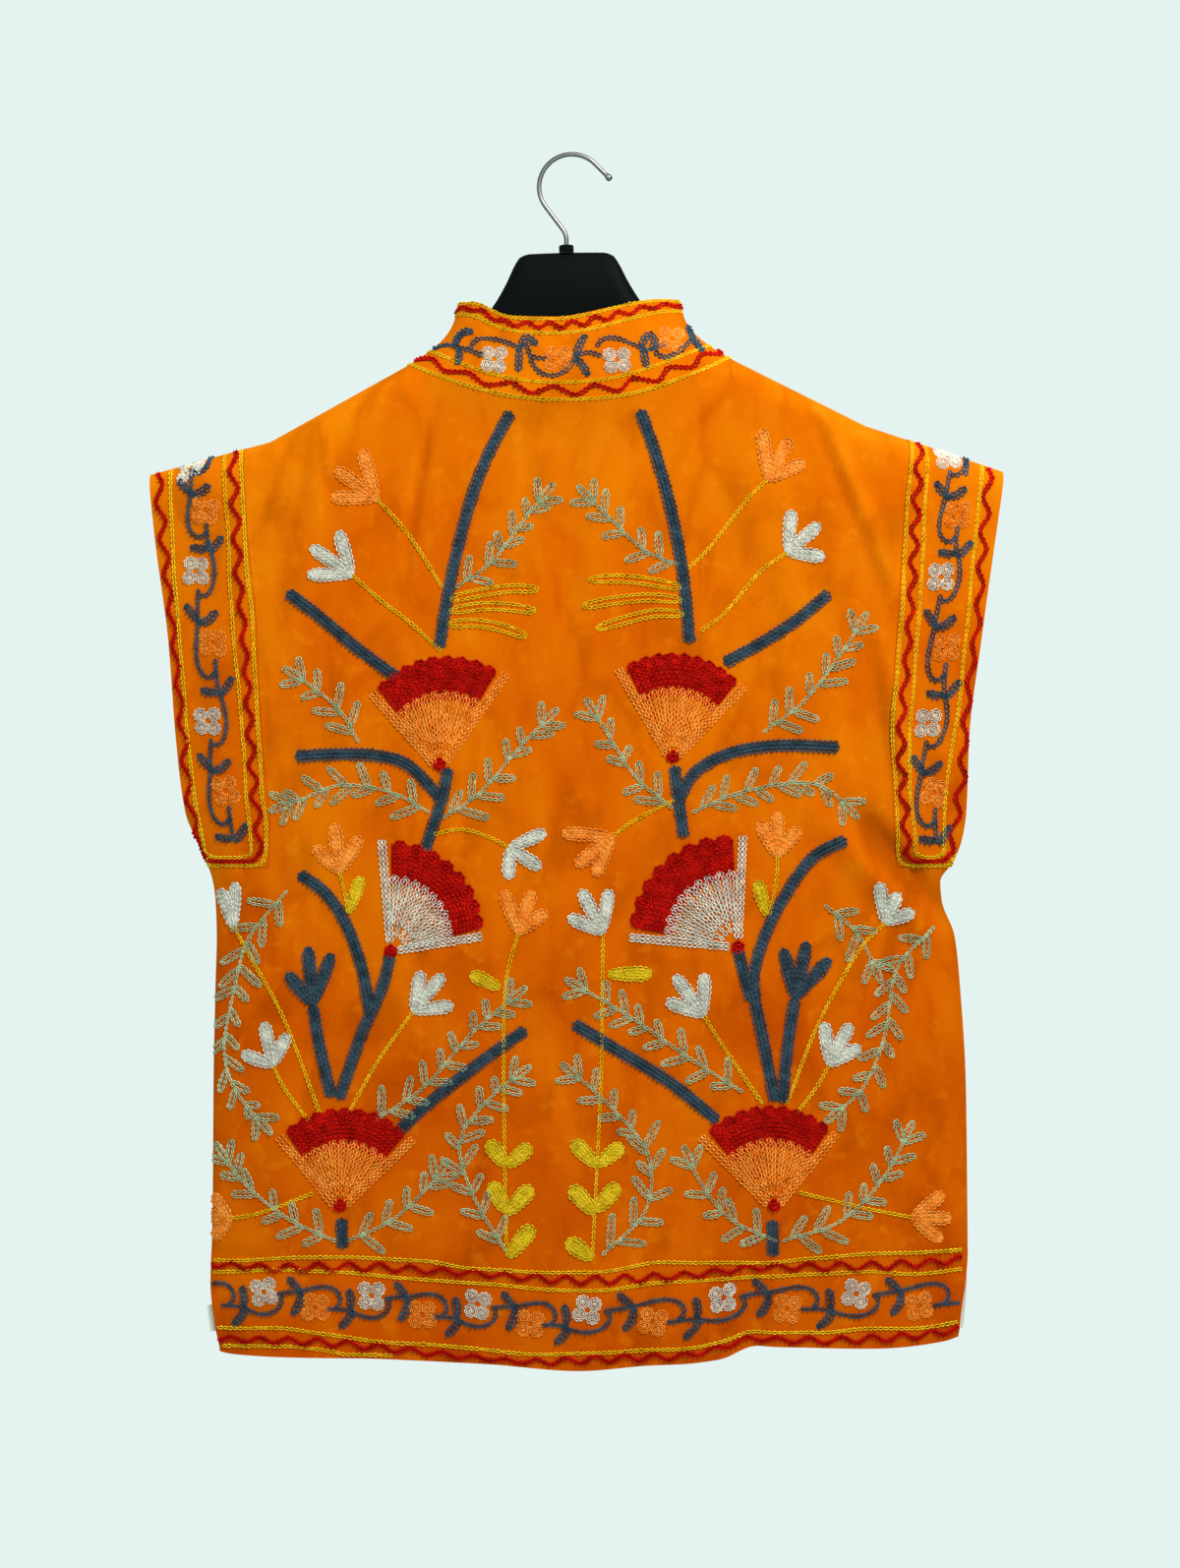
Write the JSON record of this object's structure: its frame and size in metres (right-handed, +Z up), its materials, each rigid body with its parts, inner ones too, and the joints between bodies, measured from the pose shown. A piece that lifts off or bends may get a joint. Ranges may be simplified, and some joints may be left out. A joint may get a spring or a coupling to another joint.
{
  "type": "velvet jacket on a hanger",
  "caption": "Boxy orange velvet cap-sleeve jacket with a stand collar, side vents and floral embroidery, hanging from a broad dark plastic hanger with a steel hook.",
  "frame": {"origin": "the inside of the hook, close beside its crest, where the hanger hangs", "axes": "+Z up; the jacket's back faces -Y and its front +Y; its left side is at -X"},
  "size_m": [0.6485, 0.0542, 0.9232],
  "materials": {
    "velvet": "short-pile orange velvet with a printed cotton lining",
    "velvet_border": "short-pile orange velvet under close embroidery",
    "label_cloth": "blank woven tape",
    "hanger_plastic": "satin black moulding",
    "hook_steel": "bright plated wire"
  },
  "bodies": {
    "root": {"back": "velvet", "front_left": "velvet", "front_right": "velvet", "sleeve_left": "velvet_border", "sleeve_right": "velvet_border", "collar": "velvet_border", "side_label": "label_cloth", "hanger_body": "hanger_plastic", "hanger_ferrule": "hanger_plastic", "hanger_hook": "hook_steel"}
  },
  "joints": []
}
